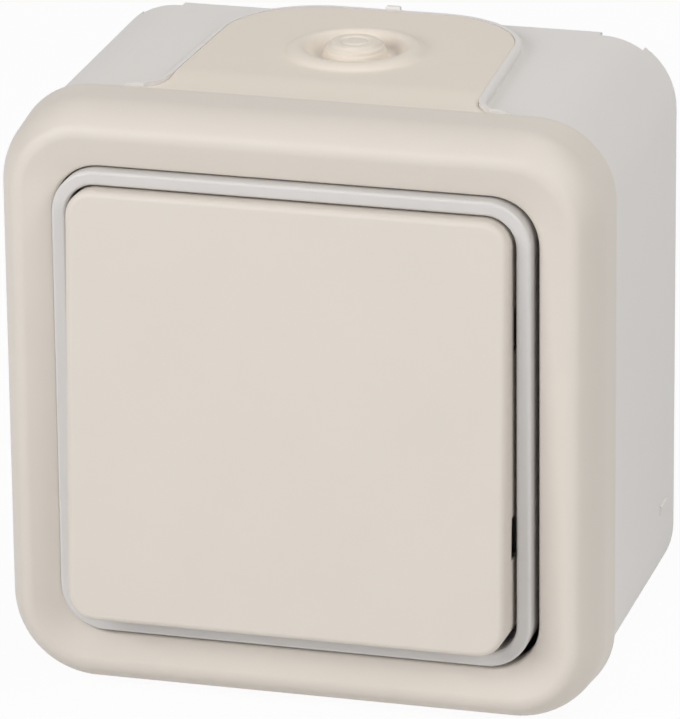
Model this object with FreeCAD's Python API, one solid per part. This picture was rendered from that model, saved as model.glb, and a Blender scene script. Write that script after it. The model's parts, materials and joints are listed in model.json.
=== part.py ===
import FreeCAD, Part
import math
import os

# Surface-mounted weatherproof rocker switch.
# X runs to the right and Z up, seen from the front. The wall is the plane Y = 0 and the front faces -Y.
# Depths and levels below are distances in front of the wall, in millimetres.

V = FreeCAD.Vector
ORIGIN = V(0, 0, 0)
RIGHT = V(1, 0, 0)
FORWARD = V(0, -1, 0)
UP = V(0, 0, 1)

# Rocker
rocker_width = 55.6
rocker_height = 55.2
rocker_corner_r = 3.4
rocker_edge_r = 0.8
rocker_wall = 1.8
rocker_face_t = 2.0
rocker_skirt = 7.0
rocker_stand = 3.4
rocker_rib_t = 1.4
skirt_slot_width = 5.4
skirt_slot_depth = 3.2
skirt_slot_place = 13.3
rest_tilt = 3.0

# Support dish, whose rim shows round the rocker
ring_gap_side = 0.5
ring_gap_end = 0.7
ring_width = 1.8
ring_inner_corner_r = 3.9
ring_edge_r = 0.4
ring_proud = 1.5
ring_shift_x = -0.2
ring_shift_z = 0.25
dish_floor_t = 2.0
dish_rise = 1.5
dish_window_margin = 0.9

# Front frame
frame_gap = 0.5
frame_band = 7.4
frame_wall = 2.2
frame_rear_bevel = 0.3
frame_side = 4.5
frame_shoulder_r = 8.0
frame_shoulder_turn = 35.0
frame_crest_r = 3.0
frame_slope = 14.0
frame_corner_margin = 3.7
frame_run_corner_r = 1.5
frame_lip_depth = 2.6
frame_lip_wall = 1.6
frame_lip_inset = 0.35
frame_ledge_lap = 0.2

# Catches that hold the frame on the box
catch_width = 12.0
catch_reach = 0.55
catch_depth = 0.9
catch_rise = 0.8
catch_root = 0.3
catch_clear = 0.25

# Mounting box
box_depth = 37.5
box_wall = 2.0
back_wall = 2.4
box_corner_r = 9.3
box_rear_edge_r = 0.5
frame_overhang = 1.0
frame_overhang_top = 0.7
shoulder_t = 2.0
spigot_height = 4.0
spigot_wall = 2.0
spigot_clear = 0.25
gasket_t = 1.0
gasket_inset = 0.2
post_r = 3.2
post_inset = 0.7
pilot_spare = 1.0
fixing_inset = 9.5
fixing_hole_r = 2.2
fixing_slot_length = 9.0
drain_width = 5.6
drain_height = 3.0
drain_depth = 1.7
drain_lead = 0.4
nib_width = 1.9
nib_depth = 0.7
nib_height = 1.5
nib_edge_r = 0.3
mark_length = 3.4
mark_width = 1.2
mark_rise = 0.3
mark_edge_r = 0.25
mark_back = 5.2
mark_drop = 23.3

# Raised seat on the top of the box, with the soft cable entry let into it
seat_rise = 1.1
seat_rear_gap = 0.3
seat_front_gap = 0.15
seat_half_rear = 19.6
seat_half_front = 20.5
seat_corner_r = 12.9
seat_flare_r = 4.2
seat_edge_r = 0.5
panel_t = 1.0
panel_rim = 0.9
panel_clear = 0.1
panel_edge_r = 0.2
entry_back = 18.7
entry_shift = 0.2
entry_neck_r = 9.85
entry_clear = 0.15
entry_flange_lap = 1.05
entry_flange_t = 1.0
bead_r = 7.4
bead_half_width = 1.6
bead_height = 0.75
trough_depth = 0.9
web_t = 0.9
knob_radii = (3.9, 3.7, 3.1)
knob_first_rise = 0.3
knob_step = 0.55
knob_wall = 1.0

# Bearing and cradle
pivot_rise = 1.5
trunnion_r = 2.0
bearing_clear = 0.05
axle_end_clear = 0.3
cheek_inside = 8.0
cheek_t = 3.0
cheek_cover = 1.4
cradle_side_clear = 0.6
cradle_half_height = 6.0
cradle_behind_clear = 0.6
cradle_plate_rise = 4.5
cradle_plate_t = 2.0
cradle_plate_half_x = 16.0
cradle_plate_half_z = 14.0
clip_half_width = 3.0
clip_t = 1.6
clip_gap = 0.7
clip_hook = 0.6
clip_hook_depth = 1.0
clip_clear = 0.15
clip_seat_clear = 0.05
barrel_wall = 1.1
barrel_length = 8.0
barrel_bottom = 0.5

# Plunger and its spring
plunger_r = 2.42
plunger_clear = 0.08
plunger_back = 5.5
plunger_body = 4.5
tip_r = 1.5
tip_reach = 14.5
tip_clear = 0.08
spring_wire_r = 0.28
spring_clear = 0.35
spring_turns = 6
spring_end_clear = 0.02

# Contact arm
arm_swing = 8.0
arm_t = 1.2
arm_half_width = 3.0
arm_end = 2.5
arm_flange_t = 0.8
arm_flange_rise = 1.6
arm_flange_half = 4.5
knife_r = 0.6
knife_clear = 0.1
knife_half_width = 2.4
contact_offset = 9.5
dome_r = 1.8
dome_height = 0.8
contact_gap = 0.05
fixed_tip_r = 2.0
fixed_tip_t = 0.8

# Terminals
strip_t = 0.8
strip_half = 2.6
terminal_side_gap = 0.5
terminal_end_gap = 1.7
terminal_width = 6.0
terminal_height = 7.0
terminal_depth = 8.0
wire_hole_r = 1.6
wire_hole_rise = 3.0

# Mechanism tray and its lid
base_size = 40.0
base_wall = 1.8
base_floor_t = 2.0
base_corner_r = 2.0
pad_height = 2.5
pad_margin = 0.4
ledge_t = 0.9
ledge_half = 4.0
ear_reach = 5.2
ear_half = 4.5
ear_t = 3.0
wire_entry_r = 1.9
cover_t = 2.0
cover_clear = 0.1
cover_window_clear = 1.4
access_r = 2.7

# Splash seal
seal_t = 1.2
seal_lip_t = 1.0
seal_lip_rise = 0.8
seal_lap = 3.2
seal_clear = 1.2
seal_screw_clear = 0.6

# Screws
screw_clear = 0.05
screw_pass_clear = 0.25
screw_recess_t = 0.7
screw_recess_depth = 0.9
screw_recess_margin = 0.9
screw_head_round = 0.5
support_screw = {"head_r": 2.9, "head_h": 1.8, "shank_r": 1.5, "length": 12.0}
mechanism_screw = {"head_r": 2.2, "head_h": 1.5, "shank_r": 1.1, "length": 4.6}
terminal_screw = {"head_r": 2.4, "head_h": 1.8, "shank_r": 1.5, "length": 4.6}
terminal_screw_lift = 1.0

# Sizes across the front, from the rocker outwards
ring_inner_x = rocker_width / 2 + ring_gap_side
ring_inner_z = rocker_height / 2 + ring_gap_end
ring_outer_x = ring_inner_x + ring_width
ring_outer_z = ring_inner_z + ring_width
ring_corner_r = ring_inner_corner_r + ring_width
mouth_x = ring_outer_x + frame_gap
mouth_z = ring_outer_z + frame_gap
mouth_corner_r = ring_corner_r + frame_gap
frame_half_x = mouth_x + frame_band
frame_half_z = mouth_z + frame_band
frame_corner_r = frame_band + frame_corner_margin
box_half_x = frame_half_x - frame_overhang
box_half_z = frame_half_z - frame_overhang_top
spigot_inset = frame_wall + spigot_clear
fixing_x = box_half_x - fixing_inset
post_x = ring_inner_x - support_screw["head_r"] - post_inset
post_z = ring_inner_z - support_screw["head_r"] - post_inset

# Levels in front of the wall
support_level = box_depth + dish_rise
dish_floor_level = support_level + dish_floor_t
spigot_level = box_depth + spigot_height
ledge_level = spigot_level + gasket_t
pivot_level = support_level + pivot_rise
arm_level = pivot_level - tip_reach - tip_clear - arm_t
dome_ball_r = (dome_r ** 2 + dome_height ** 2) / (2 * dome_height)
swing = math.radians(arm_swing)
dome_reach = (dome_height - dome_ball_r) * math.cos(swing) + contact_offset * math.sin(swing) + dome_ball_r
fixed_face_level = arm_level - dome_reach - contact_gap
strip_front = fixed_face_level - fixed_tip_t
strip_rear = strip_front - strip_t
base_floor_level = strip_rear - pad_height
base_rear = base_floor_level - base_floor_t
terminal_front = strip_front + terminal_depth
cover_rear = support_level - cover_t
base_half = base_size / 2
base_inside = base_half - base_wall
terminal_x = base_inside - ledge_t - terminal_side_gap - terminal_width / 2
terminal_z = base_inside - terminal_end_gap - terminal_height / 2
barrel_r = plunger_r + plunger_clear + barrel_wall
arm_half_length = contact_offset + arm_end
ear_screw_x = base_half + ear_reach / 2
clip_x = cheek_inside + cheek_t + clip_gap + clip_t / 2


def block(x0, x1, d0, d1, z0, z1):
    """A plain block between two planes in each direction."""
    return Part.makeBox(x1 - x0, d1 - d0, z1 - z0, V(x0, -d1, z0))


def rod(radius, d0, d1, x=0, z=0):
    """A round rod that stands out from the wall between two levels."""
    return Part.makeCylinder(radius, d1 - d0, V(x, -d0, z), FORWARD)


def bar(radius, x0, x1, level, z=0):
    """A round bar across the switch at one level."""
    return Part.makeCylinder(radius, x1 - x0, V(x0, -level, z), RIGHT)


def plate(half_x, half_z, corner_r, d0, d1):
    """A plate with rounded corners between two levels."""
    solid = block(-half_x, half_x, d0, d1, -half_z, half_z)
    uprights = [e for e in solid.Edges if abs(e.tangentAt(e.FirstParameter).y) > 0.9]
    return solid.makeFillet(corner_r, uprights)


def front_edges(solid, level):
    """The edges that lie in the plane at one level."""
    return [e for e in solid.Edges if all(abs(v.Y + level) < 1e-6 for v in e.Vertexes)]


def closed_face(edges):
    """A flat face inside a closed run of edges."""
    return Part.Face(Part.Wire(edges))


def chain(points):
    """Straight edges through profile points given as offset and level, closed at the end."""
    outline = [V(offset, -level, 0) for offset, level in points]
    return Part.Face(Part.makePolygon(outline + outline[:1]))


def rim(profile, half_x, half_z, corner_r):
    """A profile carried round a rectangle with rounded corners.

    The profile's offset is measured outwards from the rectangle's sides.
    """
    pieces = []
    for quarter in range(4):
        across, along = (half_x, half_z) if quarter % 2 == 0 else (half_z, half_x)
        straight = along - corner_r
        side = profile.copy()
        side.translate(V(across, 0, -straight))
        side = side.extrude(V(0, 0, 2 * straight))
        corner = profile.copy()
        corner.translate(V(across, 0, straight))
        corner = corner.revolve(V(across - corner_r, 0, straight), FORWARD, 90)
        for piece in (side, corner):
            piece.rotate(ORIGIN, FORWARD, 90 * quarter)
            pieces.append(piece)
    return pieces[0].multiFuse(pieces[1:]).removeSplitter()


def corners(x, z):
    """The four places at plus and minus x and z."""
    return [(sx * x, sz * z) for sx in (-1, 1) for sz in (-1, 1)]


def pan_screw(x, z, seat, head_r, head_h, shank_r, length):
    """A pan-head screw with a cross recess, its head on the level where it seats."""
    head = rod(head_r, seat, seat + head_h, x, z)
    head = head.makeFillet(screw_head_round, front_edges(head, seat + head_h))
    shank = rod(shank_r, seat - length, seat, x, z)
    screw = head.fuse(shank).removeSplitter()
    arm = head_r - screw_recess_margin
    half = screw_recess_t / 2
    bottom = seat + head_h - screw_recess_depth
    top = seat + head_h + screw_recess_depth
    upright = block(x - half, x + half, bottom, top, z - arm, z + arm)
    level = block(x - arm, x + arm, bottom, top, z - half, z + half)
    return screw.cut(upright.fuse(level))


def tilted(solid):
    """A rocker piece turned about the trunnions from the level middle to its rest."""
    solid.rotate(V(0, -pivot_level, 0), RIGHT, -rest_tilt)
    return solid


def swung(solid):
    """A contact arm piece turned about the knife edge to its rest."""
    solid.rotate(V(0, -arm_level, 0), RIGHT, arm_swing)
    return solid


def frame_crown():
    """The frame's outer section: side, soft shoulder, crest and sloping face.

    Returns its edges from the rear bevel to the inner end of the face, that end, and the level of the
    face at the mouth. The face runs on past the mouth, which is cut out of it with its own corners.
    """
    turn = math.radians(frame_shoulder_turn)
    slope = math.radians(frame_slope)
    start = box_depth + frame_side
    shoulder = V(-frame_shoulder_r, -start, 0)
    crest_shift = frame_shoulder_r - frame_crest_r
    crest = shoulder + V(math.cos(turn), -math.sin(turn), 0) * crest_shift

    def on_arc(centre, radius, angle):
        return centre + V(math.cos(angle), -math.sin(angle), 0) * radius

    end_turn = math.pi / 2 + slope
    side_top = on_arc(shoulder, frame_shoulder_r, 0)
    side_mid = on_arc(shoulder, frame_shoulder_r, turn / 2)
    join = on_arc(shoulder, frame_shoulder_r, turn)
    crest_mid = on_arc(crest, frame_crest_r, (turn + end_turn) / 2)
    crest_end = on_arc(crest, frame_crest_r, end_turn)
    face_run = crest_end.x + frame_band
    face_end_run = face_run + frame_corner_margin - frame_run_corner_r
    face_end = crest_end + V(-face_end_run, face_end_run * math.tan(slope), 0)
    bevel_side = V(0, -box_depth - frame_rear_bevel, 0)
    edges = [
        Part.makeLine(bevel_side, side_top),
        Part.Arc(side_top, side_mid, join).toShape(),
        Part.Arc(join, crest_mid, crest_end).toShape(),
        Part.makeLine(crest_end, face_end),
    ]
    return edges, face_end, -crest_end.y - face_run * math.tan(slope)


crown_edges, face_end, mouth_level = frame_crown()
ring_level = mouth_level + ring_proud
rocker_level = ring_level + rocker_stand


def make_front_frame():
    """Soft-rounded cover: crown outside, lip round the mouth, ledge for the gasket, four catches."""
    under_level = mouth_level - frame_wall
    ledge_inset = spigot_inset + spigot_wall + frame_ledge_lap
    inside = [
        (face_end.x, -face_end.y),
        (face_end.x, under_level),
        (-ledge_inset, under_level),
        (-ledge_inset, ledge_level),
        (-frame_wall, ledge_level),
        (-frame_wall, box_depth),
        (-frame_rear_bevel, box_depth),
        (0, box_depth + frame_rear_bevel),
    ]
    points = [V(offset, -level, 0) for offset, level in inside]
    edges = crown_edges + [Part.makeLine(a, b) for a, b in zip(points, points[1:])]
    frame = rim(closed_face(edges), frame_half_x, frame_half_z, frame_corner_r)
    lip_rear = mouth_level - frame_lip_depth
    lip = plate(mouth_x + frame_lip_wall, mouth_z + frame_lip_wall, mouth_corner_r + frame_lip_wall,
                lip_rear, mouth_level - frame_lip_inset)
    mouth = plate(mouth_x, mouth_z, mouth_corner_r, box_depth, rocker_level)
    frame = frame.fuse(lip).cut(mouth)
    start = box_depth + catch_rise
    for quarter in range(4):
        wall = (frame_half_x if quarter % 2 == 0 else frame_half_z) - frame_wall
        tip = chain([(0, start), (-catch_reach, start + catch_depth), (-catch_reach, start + 2 * catch_depth),
                     (catch_root, start + 2 * catch_depth), (catch_root, start)])
        tip.translate(V(wall, 0, -catch_width / 2))
        catch = tip.extrude(V(0, 0, catch_width))
        catch.rotate(ORIGIN, FORWARD, 90 * quarter)
        frame = frame.fuse(catch)
    return frame.removeSplitter()


def make_mounting_box():
    """Open box with a shoulder and spigot in front, screw posts inside and fixing slots in its back."""
    outer = plate(box_half_x, box_half_z, box_corner_r, 0, box_depth)
    outer = outer.makeFillet(box_rear_edge_r, front_edges(outer, 0)).fuse(make_seat())
    inner = plate(box_half_x - box_wall, box_half_z - box_wall, box_corner_r - box_wall,
                  back_wall, box_depth - shoulder_t)
    spigot_out = plate(frame_half_x - spigot_inset, frame_half_z - spigot_inset,
                       frame_corner_r - spigot_inset, box_depth, spigot_level)
    mouth_inset = spigot_inset + spigot_wall
    mouth = plate(frame_half_x - mouth_inset, frame_half_z - mouth_inset,
                  frame_corner_r - mouth_inset, back_wall, spigot_level)
    box = outer.fuse(spigot_out).cut(inner).cut(mouth)
    pilot = support_screw["shank_r"] + screw_clear
    pilot_bottom = dish_floor_level - support_screw["length"] - pilot_spare
    for x, z in corners(post_x, post_z):
        post = rod(post_r, back_wall / 2, support_level, x, z)
        box = box.fuse(post.cut(rod(pilot, pilot_bottom, support_level, x, z)))
    for sx in (-1, 1):
        box = box.cut(fixing_slot(sx * fixing_x))
    half = drain_width / 2
    for x, z in corners(box_half_x - box_corner_r - drain_lead + half, box_half_z):
        box = box.cut(block(x - half, x + half, 0, drain_depth, z - drain_height, z + drain_height))
    for quarter in range(4):
        box = box.cut(catch_recess(quarter))
    hole_start = V(entry_shift, -entry_back, box_half_z - 2 * box_wall)
    box = box.cut(Part.makeCylinder(entry_neck_r + entry_clear, 3 * box_wall, hole_start))
    nib = block(entry_shift - nib_width / 2, entry_shift + nib_width / 2, 0, nib_depth,
                box_half_z - box_wall / 2, box_half_z + nib_height)
    nib_top = [e for e in nib.Edges if all(abs(v.Z - box_half_z - nib_height) < 1e-6 for v in e.Vertexes)]
    nib = nib.makeFillet(nib_edge_r, nib_top)
    mark = block(box_half_x - box_wall / 2, box_half_x + mark_rise, mark_back, mark_back + mark_length,
                 -mark_drop - mark_width / 2, -mark_drop + mark_width / 2)
    mark_face = [e for e in mark.Edges if all(abs(v.X - box_half_x - mark_rise) < 1e-6 for v in e.Vertexes)]
    mark = mark.makeFillet(mark_edge_r, mark_face)
    return box.fuse([nib, mark]).removeSplitter()


def fixing_slot(x):
    """A round-ended slot through the back wall."""
    run = fixing_slot_length / 2 - fixing_hole_r
    slot = block(x - run, x + run, -back_wall, 2 * back_wall, -fixing_hole_r, fixing_hole_r)
    ends = [rod(fixing_hole_r, -back_wall, 2 * back_wall, x + end, 0) for end in (-run, run)]
    return slot.fuse(ends).removeSplitter()


def catch_recess(quarter):
    """The pocket in the spigot that takes one of the frame's catches."""
    wall = (frame_half_x if quarter % 2 == 0 else frame_half_z) - frame_wall
    start = box_depth + catch_rise - catch_clear
    depth = 2 * catch_depth + 2 * catch_clear
    half = catch_width / 2 + catch_clear
    pocket = block(wall - catch_reach - catch_clear, wall + catch_clear, start, start + depth, -half, half)
    pocket.rotate(ORIGIN, FORWARD, 90 * quarter)
    return pocket


def make_frame_gasket():
    """Flat seal between the end of the spigot and the frame's ledge."""
    outside = -spigot_inset - gasket_inset
    inside = -spigot_inset - spigot_wall + gasket_inset
    section = chain([(outside, spigot_level), (outside, ledge_level),
                     (inside, ledge_level), (inside, spigot_level)])
    return rim(section, frame_half_x, frame_half_z, frame_corner_r)


def seat_outline(inset):
    """The raised seat's outline from above, drawn in by an inset: round at the wall, flared at the frame."""
    rear = -seat_rear_gap - inset
    front = -box_depth + seat_front_gap - inset
    half_rear = seat_half_rear - inset
    half_front = seat_half_front - inset
    corner_r = seat_corner_r - inset
    flare_r = seat_flare_r + inset
    corner_cut = corner_r * (1 - math.sqrt(0.5))
    flare_cut = flare_r * (1 - math.sqrt(0.5))
    edges = []
    for side in (1, -1):
        rear_flat = V(side * (half_rear - corner_r), rear, 0)
        rear_mid = V(side * (half_rear - corner_cut), rear - corner_cut, 0)
        rear_side = V(side * half_rear, rear - corner_r, 0)
        flare_side = V(side * half_front, front + flare_r, 0)
        flare_mid = V(side * (half_front + flare_cut), front + flare_cut, 0)
        flare_end = V(side * (half_front + flare_r), front, 0)
        edges.append(Part.Arc(rear_flat, rear_mid, rear_side).toShape())
        edges.append(Part.makeLine(rear_side, flare_side))
        edges.append(Part.Arc(flare_side, flare_mid, flare_end).toShape())
    rear_end = V(half_rear - corner_r, rear, 0)
    front_end = V(half_front + flare_r, front, 0)
    edges.append(Part.makeLine(V(-rear_end.x, rear, 0), rear_end))
    edges.append(Part.makeLine(V(-front_end.x, front, 0), front_end))
    return Part.Face(Part.Wire(Part.sortEdges(edges)[0]))


def seat_block(inset, bottom, edge_r):
    """A block with the seat's outline from a height up to the seat's top, its upper edge rounded."""
    top = box_half_z + seat_rise
    front = -box_depth + seat_front_gap
    outline = seat_outline(inset)
    outline.translate(V(entry_shift, 0, bottom))
    solid = outline.extrude(UP * (top - bottom))
    solid = solid.common(block(-frame_half_x, frame_half_x, 0, -front, bottom, top))
    upper = [e for e in solid.Edges if all(abs(v.Z - top) < 1e-6 for v in e.Vertexes)]
    upper = [e for e in upper if not all(abs(v.Y - front) < 1e-6 for v in e.Vertexes)]
    return solid.makeFillet(edge_r, upper)


def make_seat():
    """The raised seat of the box with the shallow recess for the soft panel."""
    recess_floor = box_half_z + seat_rise - panel_t
    outline = seat_outline(panel_rim)
    outline.translate(V(entry_shift, 0, recess_floor))
    return seat_block(0, box_half_z - box_wall / 2, seat_edge_r).cut(outline.extrude(UP * 2 * panel_t))


def make_entry_membrane():
    """Soft panel let into the seat, with a plug in the entry hole: raised bead, trough and stepped knob."""
    top = box_half_z + seat_rise
    panel = seat_block(panel_rim + panel_clear, top - panel_t, panel_edge_r)

    def disc(radius, bottom, height):
        return Part.makeCylinder(radius, height, V(entry_shift, -entry_back, bottom))

    inside = box_half_z - box_wall
    foot = inside - entry_flange_t
    neck = disc(entry_neck_r, foot, top - foot)
    flange = disc(entry_neck_r + entry_flange_lap, foot, entry_flange_t)
    body = panel.fuse([neck, flange])
    bead_foot = [V(bead_r - bead_half_width, 0, 0), V(bead_r + bead_half_width, 0, 0)]
    bead_top = V(bead_r, 0, bead_height)
    sink = V(0, 0, -panel_t / 2)
    section = closed_face([
        Part.Arc(bead_foot[0], bead_top, bead_foot[1]).toShape(),
        Part.makeLine(bead_foot[1], bead_foot[1] + sink),
        Part.makeLine(bead_foot[1] + sink, bead_foot[0] + sink),
        Part.makeLine(bead_foot[0] + sink, bead_foot[0]),
    ])
    centre = V(entry_shift, -entry_back, top)
    section.translate(centre)
    bead = section.revolve(centre, UP, 360)
    trough = disc(bead_r - bead_half_width, top - trough_depth, trough_depth + 2 * bead_height)
    body = body.fuse(bead).cut(trough)
    web_bottom = top - trough_depth - web_t
    body = body.cut(disc(bead_r, foot, web_bottom - foot))
    for step, radius in enumerate(knob_radii):
        body = body.fuse(disc(radius, top - trough_depth, trough_depth + knob_first_rise + step * knob_step))
    return body.cut(disc(knob_radii[0] - knob_wall, foot, top - knob_wall - foot)).removeSplitter()


def make_support_ring():
    """Dish behind the rocker: upright rim, floor with a window, holes for six screws."""
    section = chain([(0, support_level), (0, ring_level),
                     (-ring_width, ring_level), (-ring_width, support_level)])
    wall = rim(section, ring_outer_x, ring_outer_z, ring_corner_r)
    wall = wall.makeFillet(ring_edge_r, front_edges(wall, ring_level))
    half_wall = ring_width / 2
    floor = plate(ring_outer_x - half_wall, ring_outer_z - half_wall, ring_corner_r - half_wall,
                  support_level, dish_floor_level)
    window_x = base_inside - dish_window_margin
    window_z = terminal_z + access_r + dish_window_margin / 2
    dish = wall.fuse(floor)
    dish.translate(V(ring_shift_x, 0, ring_shift_z))
    dish = dish.cut(plate(window_x, window_z, base_corner_r, support_level, dish_floor_level))
    support_hole_r = support_screw["shank_r"] + screw_pass_clear
    for x, z in corners(post_x, post_z):
        dish = dish.cut(rod(support_hole_r, support_level, dish_floor_level, x, z))
    mechanism_hole_r = mechanism_screw["shank_r"] + screw_pass_clear
    for sx in (-1, 1):
        dish = dish.cut(rod(mechanism_hole_r, support_level, dish_floor_level, sx * ear_screw_x))
    return dish.removeSplitter()


def make_splash_seal():
    """Rubber sheet over the dish's window with a lip round the rocker's bearing."""
    half_x = ear_screw_x - mechanism_screw["head_r"] - seal_screw_clear
    half_z = terminal_z + access_r + seal_lap
    hole_x = cheek_inside + cheek_t + seal_clear
    hole_z = cradle_half_height + seal_clear
    sheet = plate(half_x, half_z, base_corner_r, dish_floor_level, dish_floor_level + seal_t)
    lip = plate(hole_x + seal_lip_t, hole_z + seal_lip_t, base_corner_r + seal_lip_t,
                dish_floor_level, dish_floor_level + seal_t + seal_lip_rise)
    hole = plate(hole_x, hole_z, base_corner_r, dish_floor_level, dish_floor_level + seal_t + seal_lip_rise)
    return sheet.fuse(lip).cut(hole).removeSplitter()


def terminal_places():
    """Where the common, upper and lower terminal blocks stand."""
    return [(terminal_x, terminal_z), (-terminal_x, terminal_z), (-terminal_x, -terminal_z)]


def contact_z():
    """Height of a fixed contact above or below the knife edge."""
    return contact_offset * math.cos(swing)


def strip_areas():
    """The rectangles that each terminal strip covers, as x0, x1, z0, z1."""
    far = terminal_x + terminal_width / 2
    near = terminal_x - terminal_width / 2
    high = terminal_z + terminal_height / 2
    inner = contact_z() - strip_half
    outer = contact_z() + strip_half
    common = [(-knife_half_width, far, -strip_half, strip_half), (near, far, -strip_half, high)]
    upper = [(-far, strip_half, inner, outer), (-far, -near, inner, high)]
    lower = [(x0, x1, -z1, -z0) for x0, x1, z0, z1 in upper]
    return [common, upper, lower]


def make_terminal(areas, place):
    """A brass strip with a screw terminal block folded up at its end."""
    x, z = place
    half_x = terminal_width / 2
    half_z = terminal_height / 2
    strips = [block(x0, x1, strip_rear, strip_front, z0, z1) for x0, x1, z0, z1 in areas]
    head = block(x - half_x, x + half_x, strip_rear, terminal_front, z - half_z, z + half_z)
    body = head.fuse(strips)
    wire_level = strip_front + wire_hole_rise
    wire = Part.makeCylinder(wire_hole_r, terminal_height, V(x, -wire_level, z - half_z), UP)
    thread = rod(terminal_screw["shank_r"] + screw_clear, wire_level, terminal_front, x, z)
    return body.cut(wire).cut(thread).removeSplitter()


def make_common_terminal():
    """The common strip with the knife edge that carries the contact arm."""
    terminal = make_terminal(strip_areas()[0], terminal_places()[0])
    knife = block(-knife_half_width, knife_half_width, strip_rear, arm_level, -knife_r, knife_r)
    edge = bar(knife_r, -knife_half_width, knife_half_width, arm_level)
    return terminal.fuse([knife, edge]).removeSplitter()


def make_terminal_screws():
    """Three clamping screws, backed off a little."""
    seat = terminal_front + terminal_screw_lift
    return Part.Compound([pan_screw(x, z, seat, **terminal_screw) for x, z in terminal_places()])


def make_fixed_tips():
    """Two flat silver tips on the upper and lower strips."""
    places = [side * contact_z() for side in (1, -1)]
    return Part.Compound([rod(fixed_tip_r, strip_front, fixed_face_level, 0, z) for z in places])


def make_mechanism_base():
    """Insulating tray with pads under the strips, ledges under the lid, two ears and wire entries."""
    tray = plate(base_half, base_half, base_corner_r, base_rear, support_level)
    tray = tray.cut(plate(base_inside, base_inside, base_corner_r / 2, base_floor_level, support_level))
    pads = []
    root = base_floor_level - base_floor_t / 2
    for areas in strip_areas():
        for x0, x1, z0, z1 in areas:
            pads.append(block(x0 + pad_margin, x1 - pad_margin, root, strip_rear,
                              z0 + pad_margin, z1 - pad_margin))
    for quarter in range(4):
        ledge = block(base_inside - ledge_t, base_half - base_wall / 2, root, cover_rear,
                      -ledge_half, ledge_half)
        ledge.rotate(ORIGIN, FORWARD, 90 * quarter)
        pads.append(ledge)
    for side in (-1, 1):
        inner = side * (base_half - base_wall / 2)
        outer = side * (base_half + ear_reach)
        pads.append(block(min(inner, outer), max(inner, outer), support_level - ear_t, support_level,
                          -ear_half, ear_half))
    tray = tray.fuse(pads)
    pilot = mechanism_screw["shank_r"] + screw_clear
    for side in (-1, 1):
        tray = tray.cut(rod(pilot, support_level - ear_t, support_level, side * ear_screw_x))
    for x, z in terminal_places():
        wall = base_half - base_wall / 2
        start = V(x, -(strip_front + wire_hole_rise), math.copysign(wall, z) - base_wall)
        tray = tray.cut(Part.makeCylinder(wire_entry_r, 2 * base_wall, start, UP))
    return tray.removeSplitter()


def make_mechanism_cover():
    """Lid of the tray with the two bearing cheeks, a window for the barrel and driver holes."""
    half = base_inside - cover_clear
    lid = plate(half, half, base_corner_r / 2, cover_rear, support_level)
    window = barrel_r + cover_window_clear
    lid = lid.cut(block(-window, window, cover_rear, support_level, -window, window))
    for x, z in terminal_places():
        lid = lid.cut(rod(access_r, cover_rear, support_level, x, z))
    cheek_half = trunnion_r + bearing_clear + cheek_cover
    for x in (-cheek_inside - cheek_t, cheek_inside):
        cheek = block(x, x + cheek_t, cover_rear, pivot_level, -cheek_half, cheek_half)
        head = bar(cheek_half, x, x + cheek_t, pivot_level)
        lid = lid.fuse([cheek, head])
    bore = bar(trunnion_r + bearing_clear, -cheek_inside - cheek_t, cheek_inside + cheek_t, pivot_level)
    return lid.cut(bore).removeSplitter()


def clip_slots():
    """The two slots in the cradle's plate that the rocker's tongues go through."""
    rear = pivot_level + cradle_plate_rise
    half_x = clip_t / 2 + clip_clear
    half_z = clip_half_width + clip_clear
    places = [side * clip_x for side in (-1, 1)]
    return [block(x - half_x, x + half_x, rear, rear + cradle_plate_t, -half_z, half_z) for x in places]


def make_rocker():
    """Square cap with rounded edges: skirt, seat rib for the cradle and two clip tongues."""
    half_x = rocker_width / 2
    half_z = rocker_height / 2
    rear = rocker_level - rocker_skirt
    inner_face = rocker_level - rocker_face_t
    cap = plate(half_x, half_z, rocker_corner_r, rear, rocker_level)
    cap = cap.makeFillet(rocker_edge_r, front_edges(cap, rocker_level))
    inner_r = rocker_corner_r - rocker_wall
    cap = cap.cut(plate(half_x - rocker_wall, half_z - rocker_wall, inner_r, rear, inner_face))
    slot_half = skirt_slot_width / 2
    for x, z in corners(half_x, skirt_slot_place):
        cap = cap.cut(block(x - 2 * rocker_wall, x + 2 * rocker_wall, rear, rear + skirt_slot_depth,
                            z - slot_half, z + slot_half))
    cap.translate(V(ring_shift_x, 0, ring_shift_z))
    plate_front = pivot_level + cradle_plate_rise + cradle_plate_t
    embed = inner_face + rocker_face_t / 2
    rib = block(-cradle_plate_half_x, cradle_plate_half_x, plate_front, embed,
                -cradle_plate_half_z, cradle_plate_half_z)
    rib_in_x = cradle_plate_half_x - rocker_rib_t
    rib_in_z = cradle_plate_half_z - rocker_rib_t
    rib = rib.cut(block(-rib_in_x, rib_in_x, plate_front, embed, -rib_in_z, rib_in_z))
    parts = [rib]
    plate_rear = pivot_level + cradle_plate_rise
    for side in (-1, 1):
        x = side * clip_x
        parts.append(block(x - clip_t / 2, x + clip_t / 2, plate_rear - clip_hook_depth, embed,
                           -clip_half_width, clip_half_width))
        hook = sorted([x, x + side * (clip_t / 2 + clip_hook)])
        parts.append(block(hook[0], hook[1], plate_rear - clip_hook_depth, plate_rear - clip_seat_clear,
                           -clip_half_width, clip_half_width))
    return tilted(cap.fuse(parts).removeSplitter())


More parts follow.
